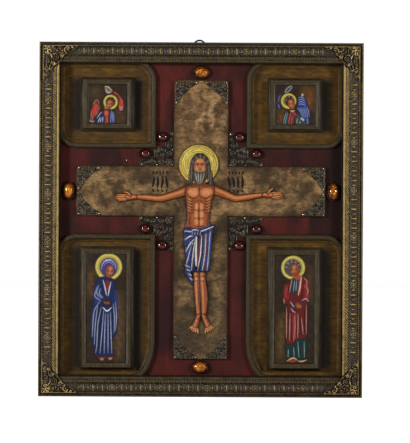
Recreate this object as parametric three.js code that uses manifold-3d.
// A hanging icon panel, in millimetres, +Z up. The panel faces -Y and its flat back lies in the plane y = 0,
// with the origin at the middle of the back.
//
// A deep moulded frame holds a backboard. On the board lie a red cross-shaped ground and four rimmed corner
// trays. A wooden cross is fixed on the red ground and carries a cut-out enamelled figure. Each tray holds a
// small moulded block with an enamelled plaque. Pierced metal corners and red and amber stones dress the
// panel, and a ring on the back of the top rail hangs it.
//
// Every piece is drawn flat, x to the right, y up the panel and z from the back (0) towards the viewer, and
// one turned group stands the panel upright.

import * as THREE from "three";
import { mergeVertices } from "three/addons/utils/BufferGeometryUtils.js";
import Module from "manifold-3d";

const wasm = await Module();
wasm.setup();

// Outer frame: section of the moulding, across from the outer edge, and heights above the back
const FRAME = { width: 340, height: 372 };
const RAIL_WIDTH = 22;
const RABBET = { wall: 17, top: 21 };
const OUTER_BEAD = { width: 3.2, edge: 27, crown: 29.6 };
const BAND = { width: 12, foot: 27.5, crown: 30.2 };
const ROPE = { centre: 17.3, height: 28.2, radius: 1.7 };
const LIP = { start: 19.4, top: 27.9, edge: 26.4 };
const BOSS = { pitch: 13.5, halfWidth: 3.2, halfHeight: 5.4, depth: 2.4, sunk: 0.9, clearOfCorner: 46 };
const MITRE_GAP = 0.15;
const FIT_GAP = 0.3;

// Facets that stand for round shapes
const FACETS = {
  railCurve: 3,
  boss: 4,
  trayCorner: 5,
  scallop: 3,
  hole: 5,
  bracketCurve: 2,
  stone: 10,
  halo: 20,
  head: 8,
  limbEnd: 2,
  domeRings: 2,
  ringWire: 5,
  ring: 14,
};
const MERGE_TOLERANCE = 1e-4;

// Layers, as heights above the back
const BOARD_TOP = 6;
const TRAY_FLOOR = 12;
const TRAY_RIM_TOP = 20.6;
const RED_TOP = 15;
const CROSS_TOP = 19;
const BLOCK_TOP = 23.8;

// Cross
const CROSS = { halfSpan: 131, topEnd: 146.5, bottomEnd: -147, chamfer: 0.6 };
const UPRIGHT_HALF_WIDTH = 28.5;
const BEAM = { centre: 30, halfHeight: 26.2 };

// Red ground and trays
const RED_MARGIN = 19.3;
const TRAY_CORNER = 22;
const LOWER_TRAY_END = 42;
const RIM = { width: 5, shoulder: 2, cove: 1.8, coveReach: 3.5 };

// Small icon blocks and their plaques
const BLOCK = { x: 99, width: 52, plinth: 2.6, plinthRise: 4.4, moulding: 5, roll: 2.4 };
const UPPER_BLOCK = { y: 121.5, height: 52 };
const LOWER_BLOCK = { y: -93.7, height: 125 };
const PLAQUE = { seat: 20.4, thickness: 0.9, bevel: 0.3 };

// Pierced corners: thin sheet with a scalloped edge, holes as shares of the leg
const SHEET = 0.9;
const FRAME_CORNER = { leg: 37, fromEdge: 4 };
const CROSS_CORNER = { leg: 25.6, fromEdge: 0.5 };
const SCALLOPS = { lobes: 3, bulge: 0.05, sag: 0.09 };
const HOLES = [
  { along: 0.18, up: 0.18, radius: 0.085 },
  { along: 0.42, up: 0.15, radius: 0.075 },
  { along: 0.63, up: 0.11, radius: 0.06 },
];
const BRACKET = { leg: 37, legWidth: 9.6, belly: 18.4, shoulder: 21.2, gap: 0.4, holeRadius: 2 };

// Stones and their settings
const AMBER = { halfLong: 9, halfShort: 6.5, rise: 6.4 };
const GARNET = { halfLong: 6.2, halfShort: 4.8, rise: 5 };
const CUP = { wall: 0.6, play: 0.15, floor: 0.8, height: 2.2 };
const AMBER_AT = { end: 155.5, side: 139.5 };
const GARNETS = [
  { along: 30, out: 13.4, beside: "beam" },
  { along: 31, out: 12.1, beside: "upright" },
];

// Hanging ring and its plate, on the back of the top rail
const RING = { x: -2.4, radius: 6.2, wire: 0.9, aboveEdge: 6.4, behind: 2.2 };
const HANGER = { width: 9, sheet: 0.7, bridge: 0.6, strapWidth: 2.4, post: 1, clear: 0.4, tail: 4.5 };

// Figure: a plaque cut out along its outline, in low relief. Joints of a limb are {x, y, r}.
const FIGURE = { edge: 1.1, body: 2.8, cloth: 3.2, fold: 4.4, bevelShare: 0.45, torsoBevel: 2.8 };
const HALO = { x: -2.5, y: 58.3, radius: 21.4, thick: 1.6, bevel: 0.5 };
const ARMS = [
  [{ x: -13, y: 31.5, r: 5.4 }, { x: -41.8, y: 22, r: 4.3 }, { x: -69, y: 23.6, r: 3 }],
  [{ x: -70, y: 23.6, r: 3.1 }, { x: -79, y: 23.4, r: 4 }, { x: -88, y: 23, r: 2.2 }],
  [{ x: -75.5, y: 24.5, r: 1.9 }, { x: -78, y: 29.8, r: 1.3 }],
  [{ x: 11.5, y: 32.5, r: 5.4 }, { x: 38.5, y: 23.2, r: 4.3 }, { x: 69, y: 26.8, r: 3 }],
  [{ x: 70, y: 26.8, r: 3.1 }, { x: 78.5, y: 26.4, r: 4 }, { x: 87, y: 25.7, r: 2.2 }],
  [{ x: 75, y: 27.8, r: 1.9 }, { x: 77, y: 33.2, r: 1.3 }],
];
const LEGS = [
  [{ x: -6, y: -46, r: 7.6 }, { x: -4, y: -62, r: 6.2 }, { x: -0.9, y: -103, r: 3.7 }],
  [{ x: -1.4, y: -104, r: 3.8 }, { x: -6.6, y: -118.2, r: 3.9 }],
  [{ x: 5, y: -46, r: 7.6 }, { x: 4.2, y: -62, r: 6.2 }, { x: 3.4, y: -101, r: 3.7 }],
  [{ x: 4.2, y: -102, r: 3.8 }, { x: 11, y: -116.6, r: 4 }],
];
const TORSO = [
  [-14.5, -12], [12.5, -12], [10.8, 0], [12.2, 16], [15.5, 31], [11, 37.5], [-12, 37.5], [-17, 31], [-14, 16],
  [-12.8, 0],
];
const LOINCLOTH = [
  [-14, -55], [11, -55], [13.5, -40], [14.6, -20], [14.5, -5.5], [0, -9.5], [-17, -8.5], [-17.6, -25],
  [-16, -42],
];
const CLOTH_TAIL = [{ x: -13, y: -45, r: 3.2 }, { x: -7.5, y: -67, r: 2.2 }];
const FOLDS = { knot: { x: -11, y: -14, r: 2 }, count: 3, hemFrom: -9, hemTo: 7, hem: -51, r: 1.8 };
const HAIR = { x: -1, y: 55, halfWidth: 11.2, halfHeight: 15.6, rise: 3.6 };
const FACE = { x: -1.2, y: 56, halfWidth: 6.6, halfHeight: 9.4, rise: 4.4 };
const BEARD = { x: -1.6, y: 44.5, halfWidth: 6.4, halfHeight: 8.2, rise: 4 };

const FINISHES = {
  bronze: { color: 0x5a4a30, roughness: 0.45, metalness: 0.8 },
  brass: { color: 0x9a7f4a, roughness: 0.35, metalness: 0.95 },
  darkMetal: { color: 0x4a4640, roughness: 0.45, metalness: 0.9 },
  red: { color: 0x4a1a18, roughness: 0.85, metalness: 0 },
  gilt: { color: 0x5c4220, roughness: 0.6, metalness: 0.3 },
  crossBoard: { color: 0x6e583e, roughness: 0.6, metalness: 0.1 },
  blockWood: { color: 0x4d4538, roughness: 0.5, metalness: 0.3 },
  enamel: { color: 0x9a6a48, roughness: 0.25, metalness: 0 },
  amber: { color: 0xb5620e, roughness: 0.05, metalness: 0 },
  garnet: { color: 0x5a0a0c, roughness: 0.05, metalness: 0 },
  boardWood: { color: 0x5b4733, roughness: 0.8, metalness: 0 },
};

// Left is -1 and right 1, lower is -1 and upper 1
const SIDES = [["left", -1], ["right", 1]];
const ENDS = [["upper", 1], ["lower", -1]];

const point = (x, y) => new THREE.Vector2(x, y);

function arcPoints(cx, cy, radiusX, radiusY, from, to, steps) {
  return Array.from({ length: steps + 1 }, (_, i) => {
    const angle = from + ((to - from) * i) / steps;
    return point(cx + radiusX * Math.cos(angle), cy + radiusY * Math.sin(angle));
  });
}

function oval(cx, cy, radiusX, radiusY, sides) {
  return arcPoints(cx, cy, radiusX, radiusY, 0, 2 * Math.PI, sides).slice(0, sides);
}

function rectangle(cx, cy, width, height) {
  const [w, h] = [width / 2, height / 2];
  return [point(cx - w, cy - h), point(cx + w, cy - h), point(cx + w, cy + h), point(cx - w, cy + h)];
}

// An outline drawn from a corner outwards, set at (x, y) and mirrored by the signs, still anticlockwise
function quadrant(outline, x, y, signX, signY) {
  const set = outline.map((p) => point(x + signX * p.x, y + signY * p.y));
  return signX * signY < 0 ? set.reverse() : set;
}

// The outline moved inwards by a distance, with each corner kept a corner
function inset(outline, distance) {
  return outline.map((p, i) => {
    const before = outline[(i + outline.length - 1) % outline.length];
    const after = outline[(i + 1) % outline.length];
    const arriving = p.clone().sub(before).normalize();
    const leaving = after.clone().sub(p).normalize();
    const n1 = point(-arriving.y, arriving.x);
    const n2 = point(-leaving.y, leaving.x);
    const mitre = n1.clone().add(n2).divideScalar(1 + n1.dot(n2));
    return p.clone().addScaledVector(mitre, distance);
  });
}

// A closed body over an outline: its wall climbs through steps of [inset, height], capped below and above
function stepped(outline, steps) {
  const rings = steps.map(([distance]) => inset(outline, distance));
  const count = outline.length;
  const positions = rings.flatMap((ring, k) => ring.flatMap((p) => [p.x, p.y, steps[k][1]]));
  const index = [];
  for (let k = 0; k + 1 < rings.length; k++) {
    for (let i = 0; i < count; i++) {
      const j = (i + 1) % count;
      const [below, above] = [k * count, (k + 1) * count];
      index.push(below + i, below + j, above + j, below + i, above + j, above + i);
    }
  }
  const last = (rings.length - 1) * count;
  for (const [a, b, c] of THREE.ShapeUtils.triangulateShape(rings[0], [])) index.push(a, c, b);
  for (const [a, b, c] of THREE.ShapeUtils.triangulateShape(rings.at(-1), [])) {
    index.push(last + a, last + b, last + c);
  }
  return new THREE.BufferGeometry()
    .setAttribute("position", new THREE.Float32BufferAttribute(positions, 3))
    .setIndex(index);
}

// A flat sheet with holes, between two heights
function pierced(outline, holes, from, to) {
  const shape = new THREE.Shape(outline);
  shape.holes = holes.map((hole) => new THREE.Path(hole));
  const sheet = new THREE.ExtrudeGeometry(shape, { depth: to - from, bevelEnabled: false });
  return sheet.translate(0, 0, from);
}

// A low oval dome with a flat base
function dome({ x, y, halfWidth, halfHeight }, from, rise, sides) {
  const arch = arcPoints(0, 0, 1, 1, 0, Math.PI / 2, FACETS.domeRings).slice(0, -1);
  const body = new THREE.LatheGeometry([point(0, 0), ...arch, point(0, 1)], sides, Math.PI / 2);
  return body.rotateX(Math.PI / 2).scale(halfWidth, halfHeight, rise).translate(x, y, from);
}

function solidOf(geometry) {
  const bare = geometry.clone();
  bare.deleteAttribute("normal");
  bare.deleteAttribute("uv");
  const merged = mergeVertices(bare, MERGE_TOLERANCE);
  const vertProperties = merged.attributes.position.array;
  const triVerts = new Uint32Array(merged.index.array);
  return new wasm.Manifold(new wasm.Mesh({ numProp: 3, vertProperties, triVerts }));
}

function geometryOf(solid) {
  const mesh = solid.getMesh();
  return new THREE.BufferGeometry()
    .setAttribute("position", new THREE.BufferAttribute(mesh.vertProperties, 3))
    .setIndex(new THREE.BufferAttribute(mesh.triVerts, 1));
}

function joined(geometries) {
  return geometryOf(geometries.map(solidOf).reduce((whole, next) => whole.add(next)));
}

function cut(geometry, cutters) {
  return geometryOf(cutters.map(solidOf).reduce((whole, next) => whole.subtract(next), solidOf(geometry)));
}

const panel = new THREE.Group();
panel.rotation.x = Math.PI / 2;

function place(name, geometry, finish, { x = 0, y = 0, turn = 0 } = {}) {
  const mesh = new THREE.Mesh(geometry, new THREE.MeshStandardMaterial(FINISHES[finish]));
  mesh.name = name;
  mesh.position.set(x, y, 0);
  mesh.rotation.z = turn;
  panel.add(mesh);
}

// Outer frame
function railSection() {
  const bandEnd = OUTER_BEAD.width + BAND.width;
  const bandMiddle = OUTER_BEAD.width + BAND.width / 2;
  const section = new THREE.Shape();
  section.moveTo(0, 0);
  section.lineTo(RABBET.wall, 0);
  section.lineTo(RABBET.wall, RABBET.top);
  section.lineTo(RAIL_WIDTH, RABBET.top);
  section.lineTo(RAIL_WIDTH, LIP.edge);
  section.lineTo(LIP.start, LIP.top);
  section.lineTo(ROPE.centre + ROPE.radius, BAND.foot);
  section.absarc(ROPE.centre, ROPE.height, ROPE.radius, 0, Math.PI, false);
  section.lineTo(bandEnd, BAND.foot);
  section.quadraticCurveTo(bandMiddle, 2 * BAND.crown - BAND.foot, OUTER_BEAD.width, BAND.foot);
  section.quadraticCurveTo(OUTER_BEAD.width / 2, OUTER_BEAD.crown, 0, OUTER_BEAD.edge);
  return section;
}

// A row of oval bosses along the middle of the band
function bosses(length) {
  const room = length / 2 - BOSS.clearOfCorner;
  const each = Math.floor(room / BOSS.pitch);
  return Array.from({ length: 2 * each + 1 }, (_, i) =>
    new THREE.SphereGeometry(1, FACETS.boss, 2)
      .rotateX(Math.PI / 2)
      .scale(BOSS.halfWidth, BOSS.halfHeight, BOSS.depth)
      .translate(((i - each) * room) / each, -OUTER_BEAD.width - BAND.width / 2, BAND.crown - BOSS.sunk),
  );
}

// A rail along x, its outer edge on y = 0 and its ends mitred
function rail(length) {
  const settings = { depth: 1, bevelEnabled: false, curveSegments: FACETS.railCurve };
  const bar = new THREE.ExtrudeGeometry(railSection(), settings);
  const position = bar.attributes.position;
  for (let i = 0; i < position.count; i++) {
    const across = position.getX(i);
    const reach = length / 2 - across - MITRE_GAP;
    position.setXYZ(i, position.getZ(i) > 0 ? -reach : reach, -across, position.getY(i));
  }
  return joined([bar, ...bosses(length)]);
}

const halfWidth = FRAME.width / 2;
const halfHeight = FRAME.height / 2;
place("frame_rail_top", rail(FRAME.width), "bronze", { y: halfHeight });
place("frame_rail_bottom", rail(FRAME.width), "bronze", { y: -halfHeight, turn: Math.PI });
place("frame_rail_left", rail(FRAME.height), "bronze", { x: -halfWidth, turn: Math.PI / 2 });
place("frame_rail_right", rail(FRAME.height), "bronze", { x: halfWidth, turn: -Math.PI / 2 });

// Backboard, in the rabbet
const boardHalfWidth = halfWidth - RABBET.wall - FIT_GAP;
const boardHalfHeight = halfHeight - RABBET.wall - FIT_GAP;
const boardOutline = rectangle(0, 0, 2 * boardHalfWidth, 2 * boardHalfHeight);
place("backboard", stepped(boardOutline, [[0, 0], [0, BOARD_TOP]]), "boardWood");

// Trays: each one rises to a round rim, coved down to its floor, with two rounded corners
const redHalfWidth = UPRIGHT_HALF_WIDTH + RED_MARGIN;
const redHalfBeam = BEAM.halfHeight + RED_MARGIN;

function trayOutline(side, end) {
  const x = side * redHalfWidth;
  const y = BEAM.centre + end * redHalfBeam;
  const width = boardHalfWidth - redHalfWidth;
  const height = boardHalfHeight - end * y;
  const r = TRAY_CORNER;
  const endRadius = end > 0 ? r : LOWER_TRAY_END;
  const outline = [
    point(0, 0),
    ...arcPoints(width - r, r, r, r, -Math.PI / 2, 0, FACETS.trayCorner),
    point(width, height),
    ...arcPoints(r, height - endRadius, r, endRadius, Math.PI / 2, Math.PI, FACETS.trayCorner),
  ];
  return quadrant(outline, x, y, side, end);
}

function tray(side, end) {
  const shoulder = TRAY_RIM_TOP - RIM.shoulder;
  const round = RIM.shoulder * (1 - Math.SQRT1_2);
  const foot = TRAY_FLOOR + RIM.cove;
  return stepped(trayOutline(side, end), [
    [0, BOARD_TOP + FIT_GAP],
    [0, shoulder],
    [RIM.width / 4 - round, TRAY_RIM_TOP - round],
    [RIM.width / 2, TRAY_RIM_TOP],
    [(3 * RIM.width) / 4 + round, TRAY_RIM_TOP - round],
    [RIM.width, shoulder],
    [RIM.width, foot],
    [RIM.width + RIM.coveReach, TRAY_FLOOR],
  ]);
}

// Small blocks: a sloped plinth, a rolled moulding and a seat for the plaque
function block({ y, height }, side) {
  const outline = rectangle(side * BLOCK.x, y, BLOCK.width + 2 * BLOCK.plinth, height + 2 * BLOCK.plinth);
  const outer = BLOCK.plinth;
  const inner = outer + BLOCK.moulding;
  return stepped(outline, [
    [0, TRAY_FLOOR + FIT_GAP],
    [0, TRAY_FLOOR + BLOCK.plinthRise / 2],
    [outer, TRAY_FLOOR + BLOCK.plinthRise],
    [outer, BLOCK_TOP - BLOCK.roll],
    [outer + BLOCK.moulding / 6, BLOCK_TOP - BLOCK.roll / 4],
    [outer + BLOCK.moulding / 3, BLOCK_TOP],
    [outer + BLOCK.moulding / 2, BLOCK_TOP - BLOCK.roll / 6],
    [inner, PLAQUE.seat + 2 * PLAQUE.thickness],
    [inner, PLAQUE.seat],
  ]);
}

function plaque({ y, height }, side) {
  const rim = 2 * (BLOCK.moulding + FIT_GAP);
  const bottom = PLAQUE.seat + FIT_GAP;
  const top = bottom + PLAQUE.thickness;
  return stepped(rectangle(side * BLOCK.x, y, BLOCK.width - rim, height - rim), [
    [0, bottom],
    [0, top - PLAQUE.bevel],
    [PLAQUE.bevel, top],
  ]);
}

for (const [sideName, side] of SIDES) {
  for (const [endName, end] of ENDS) {
    const where = `${endName}_${sideName}`;
    const size = end > 0 ? UPPER_BLOCK : LOWER_BLOCK;
    place(`tray_${where}`, tray(side, end), "gilt");
    place(`icon_block_${where}`, block(size, side), "blockWood");
    place(`icon_plaque_${where}`, plaque(size, side), "enamel");
  }
}

// Red ground: the board's area less the four trays
const trayRoom = SIDES.flatMap(([, side]) =>
  ENDS.map(([, end]) => stepped(inset(trayOutline(side, end), -FIT_GAP), [[0, 0], [0, TRAY_RIM_TOP]])),
);
const redSlab = stepped(boardOutline, [[0, BOARD_TOP + FIT_GAP], [0, RED_TOP]]);
place("red_ground", cut(redSlab, trayRoom), "red");

// Cross
const beamTop = BEAM.centre + BEAM.halfHeight;
const beamBottom = BEAM.centre - BEAM.halfHeight;
const crossOutline = [
  point(-UPRIGHT_HALF_WIDTH, CROSS.bottomEnd),
  point(UPRIGHT_HALF_WIDTH, CROSS.bottomEnd),
  point(UPRIGHT_HALF_WIDTH, beamBottom),
  point(CROSS.halfSpan, beamBottom),
  point(CROSS.halfSpan, beamTop),
  point(UPRIGHT_HALF_WIDTH, beamTop),
  point(UPRIGHT_HALF_WIDTH, CROSS.topEnd),
  point(-UPRIGHT_HALF_WIDTH, CROSS.topEnd),
  point(-UPRIGHT_HALF_WIDTH, beamTop),
  point(-CROSS.halfSpan, beamTop),
  point(-CROSS.halfSpan, beamBottom),
  point(-UPRIGHT_HALF_WIDTH, beamBottom),
];
const crossSteps = [[0, RED_TOP + FIT_GAP], [0, CROSS_TOP - CROSS.chamfer], [CROSS.chamfer, CROSS_TOP]];
place("cross_board", stepped(crossOutline, crossSteps), "crossBoard");

// Pierced corners: a right-angled sheet whose long side is scalloped, drawn from its corner outwards
function scallopedCorner(leg) {
  const steps = FACETS.scallop * SCALLOPS.lobes;
  const edge = Array.from({ length: steps + 1 }, (_, i) => {
    const t = i / steps;
    const lobe = SCALLOPS.bulge * Math.abs(Math.sin(SCALLOPS.lobes * Math.PI * t));
    const out = leg * (lobe - SCALLOPS.sag * Math.sin(Math.PI * t)) * Math.SQRT1_2;
    return point(leg * (1 - t) + out, leg * t + out);
  });
  return [point(0, 0), ...edge];
}

function cornerHoles(leg) {
  const pairs = HOLES.flatMap(({ along, up, radius }) =>
    along === up ? [[along, up, radius]] : [[along, up, radius], [up, along, radius]],
  );
  return pairs.map(([x, y, radius]) => oval(leg * x, leg * y, leg * radius, leg * radius, FACETS.hole));
}

function piercedCorner(leg, x, y, signX, signY, from) {
  const outline = quadrant(scallopedCorner(leg), x, y, signX, signY);
  const holes = cornerHoles(leg).map((hole) => quadrant(hole, x, y, signX, signY));
  return pierced(outline, holes, from, from + SHEET);
}

const onFrame = BAND.crown + FIT_GAP;
const onCross = CROSS_TOP + FIT_GAP;
for (const [sideName, side] of SIDES) {
  for (const [endName, end] of ENDS) {
    const x = side * (halfWidth - FRAME_CORNER.fromEdge);
    const y = end * (halfHeight - FRAME_CORNER.fromEdge);
    const corner = piercedCorner(FRAME_CORNER.leg, x, y, -side, -end, onFrame);
    place(`frame_corner_${endName}_${sideName}`, corner, "brass");

    const { leg, fromEdge } = CROSS_CORNER;
    const beamX = side * (CROSS.halfSpan - fromEdge);
    const beamY = BEAM.centre + end * (BEAM.halfHeight - fromEdge);
    const beamCorner = piercedCorner(leg, beamX, beamY, -side, -end, onCross);
    place(`cross_corner_beam_${endName}_${sideName}`, beamCorner, "darkMetal");

    const uprightX = side * (UPRIGHT_HALF_WIDTH - fromEdge);
    const uprightY = (end > 0 ? CROSS.topEnd : CROSS.bottomEnd) - end * fromEdge;
    const uprightCorner = piercedCorner(leg, uprightX, uprightY, -side, -end, onCross);
    place(`cross_corner_upright_${endName}_${sideName}`, uprightCorner, "darkMetal");
  }
}

// Stones in cups. A cup is a low oval wall with a floor.
function cup(x, y, halfAcross, halfUp, from) {
  const grow = CUP.play + CUP.wall;
  return stepped(oval(x, y, halfAcross + grow, halfUp + grow, FACETS.stone), [
    [0, from],
    [0, from + CUP.height],
    [CUP.wall, from + CUP.height],
    [CUP.wall, from + CUP.floor],
  ]);
}

function stone(x, y, halfAcross, halfUp, rise, from) {
  const base = from + CUP.floor + FIT_GAP;
  return dome({ x, y, halfWidth: halfAcross, halfHeight: halfUp }, base, rise, FACETS.stone);
}

const onRed = RED_TOP + FIT_GAP;
const ambers = [
  ["top", 0, AMBER_AT.end, AMBER.halfLong, AMBER.halfShort],
  ["bottom", 0, -AMBER_AT.end, AMBER.halfLong, AMBER.halfShort],
  ["left", -AMBER_AT.side, BEAM.centre, AMBER.halfShort, AMBER.halfLong],
  ["right", AMBER_AT.side, BEAM.centre, AMBER.halfShort, AMBER.halfLong],
];
for (const [name, x, y, halfAcross, halfUp] of ambers) {
  place(`amber_setting_${name}`, cup(x, y, halfAcross, halfUp, onRed), "darkMetal");
  place(`amber_stone_${name}`, stone(x, y, halfAcross, halfUp, AMBER.rise, onRed), "amber");
}

// Brackets in the angles of the cross: two pierced legs, a square middle that is notched round the tray's corner,
// and a cup on each leg's outer side
function bracketOutline() {
  const { leg, legWidth, belly, shoulder } = BRACKET;
  const shape = new THREE.Shape();
  shape.moveTo(0, 0);
  shape.lineTo(leg, 0);
  shape.quadraticCurveTo(leg, legWidth, shoulder, legWidth);
  shape.lineTo(shoulder, belly);
  shape.lineTo(belly, belly);
  shape.lineTo(belly, shoulder);
  shape.lineTo(legWidth, shoulder);
  shape.quadraticCurveTo(legWidth, leg, 0, leg);
  return shape.getPoints(FACETS.bracketCurve);
}

function garnetPlaces(side, end) {
  return GARNETS.map(({ along, out, beside }) => ({
    x: side * (UPRIGHT_HALF_WIDTH + (beside === "beam" ? along : out)),
    y: BEAM.centre + end * (BEAM.halfHeight + (beside === "beam" ? out : along)),
    beside,
  }));
}

function bracket(side, end) {
  const { leg, legWidth, gap, holeRadius, shoulder } = BRACKET;
  const x = side * (UPRIGHT_HALF_WIDTH + gap);
  const y = BEAM.centre + end * (BEAM.halfHeight + gap);
  const middle = legWidth / 2;
  const far = (leg + shoulder) / 2 - holeRadius;
  const near = shoulder - 2 * holeRadius;
  const spots = [[middle, middle], [near, middle], [middle, near], [far, middle / 2], [middle / 2, far]];
  const hole = ([u, v]) => quadrant(oval(u, v, holeRadius, holeRadius, FACETS.hole), x, y, side, end);
  const outline = quadrant(bracketOutline(), x, y, side, end);
  const sheet = pierced(outline, spots.map(hole), onRed, onRed + SHEET);
  const cups = garnetPlaces(side, end).map((at) => cup(at.x, at.y, GARNET.halfLong, GARNET.halfShort, onRed));
  return joined([sheet, ...cups]);
}

for (const [sideName, side] of SIDES) {
  for (const [endName, end] of ENDS) {
    const where = `${endName}_${sideName}`;
    place(`crossing_bracket_${where}`, bracket(side, end), "darkMetal");
    for (const { x, y, beside } of garnetPlaces(side, end)) {
      const gem = stone(x, y, GARNET.halfLong, GARNET.halfShort, GARNET.rise, onRed);
      place(`red_stone_${where}_${beside}`, gem, "garnet");
    }
  }
}

// Figure
function taper(a, b) {
  const angle = Math.atan2(b.y - a.y, b.x - a.x);
  const quarter = Math.PI / 2;
  return [
    ...arcPoints(b.x, b.y, b.r, b.r, angle - quarter, angle + quarter, FACETS.limbEnd),
    ...arcPoints(a.x, a.y, a.r, a.r, angle + quarter, angle + 3 * quarter, FACETS.limbEnd),
  ];
}

function raised(outline, bevel, height) {
  return stepped(outline, [[0, onCross], [0, onCross + FIGURE.edge], [bevel, onCross + height]]);
}

function limb(joints, height) {
  return joints.slice(1).map((joint, i) => {
    const bevel = FIGURE.bevelShare * Math.min(joint.r, joints[i].r);
    return raised(taper(joints[i], joint), bevel, height);
  });
}

function clothFolds() {
  const { knot, count, hemFrom, hemTo, hem, r } = FOLDS;
  return Array.from({ length: count }, (_, i) => {
    const end = { x: hemFrom + ((hemTo - hemFrom) * i) / (count - 1), y: hem, r };
    return raised(taper(knot, end), FIGURE.bevelShare * r, FIGURE.fold);
  });
}

function figure() {
  const halo = stepped(oval(HALO.x, HALO.y, HALO.radius, HALO.radius, FACETS.halo), [
    [0, onCross],
    [0, onCross + HALO.thick - HALO.bevel],
    [HALO.bevel, onCross + HALO.thick],
  ]);
  const torso = TORSO.map(([x, y]) => point(x, y));
  const cloth = LOINCLOTH.map(([x, y]) => point(x, y));
  return joined([
    halo,
    raised(torso, FIGURE.torsoBevel, FIGURE.body),
    ...ARMS.flatMap((arm) => limb(arm, FIGURE.body)),
    ...LEGS.flatMap((leg) => limb(leg, FIGURE.body)),
    raised(cloth, FIGURE.edge, FIGURE.cloth),
    ...limb(CLOTH_TAIL, FIGURE.cloth),
    ...clothFolds(),
    dome(HAIR, onCross, HAIR.rise, FACETS.head),
    dome(FACE, onCross, FACE.rise, FACETS.head),
    dome(BEARD, onCross, BEARD.rise, FACETS.head),
  ]);
}

place("crucified_figure", figure(), "enamel");

// Hanging ring, and a plate whose strap closes round the ring's foot
const ringY = halfHeight + RING.aboveEdge - RING.radius - RING.wire;

function hangerPlate() {
  const { width, sheet, bridge, strapWidth, post, clear, tail } = HANGER;
  const wireTop = ringY - RING.radius + RING.wire + clear;
  const wireBottom = ringY - RING.radius - RING.wire - clear;
  const rear = -RING.behind - RING.wire - clear - bridge;
  const bar = (top, bottom, across, from, to) =>
    stepped(rectangle(RING.x, (top + bottom) / 2, across, top - bottom), [[0, from], [0, to]]);
  return joined([
    bar(wireTop + post, wireBottom - tail, width, -FIT_GAP - sheet, -FIT_GAP),
    bar(wireTop + post, wireTop, strapWidth, rear, -FIT_GAP),
    bar(wireBottom, wireBottom - post, strapWidth, rear, -FIT_GAP),
    bar(wireTop + post, wireBottom - post, strapWidth, rear, rear + bridge),
  ]);
}

const ring = new THREE.TorusGeometry(RING.radius, RING.wire, FACETS.ringWire, FACETS.ring);
ring.translate(RING.x, ringY, -RING.behind);
place("hanging_ring", ring, "darkMetal");
place("hanger_plate", hangerPlate(), "darkMetal");

export default panel;
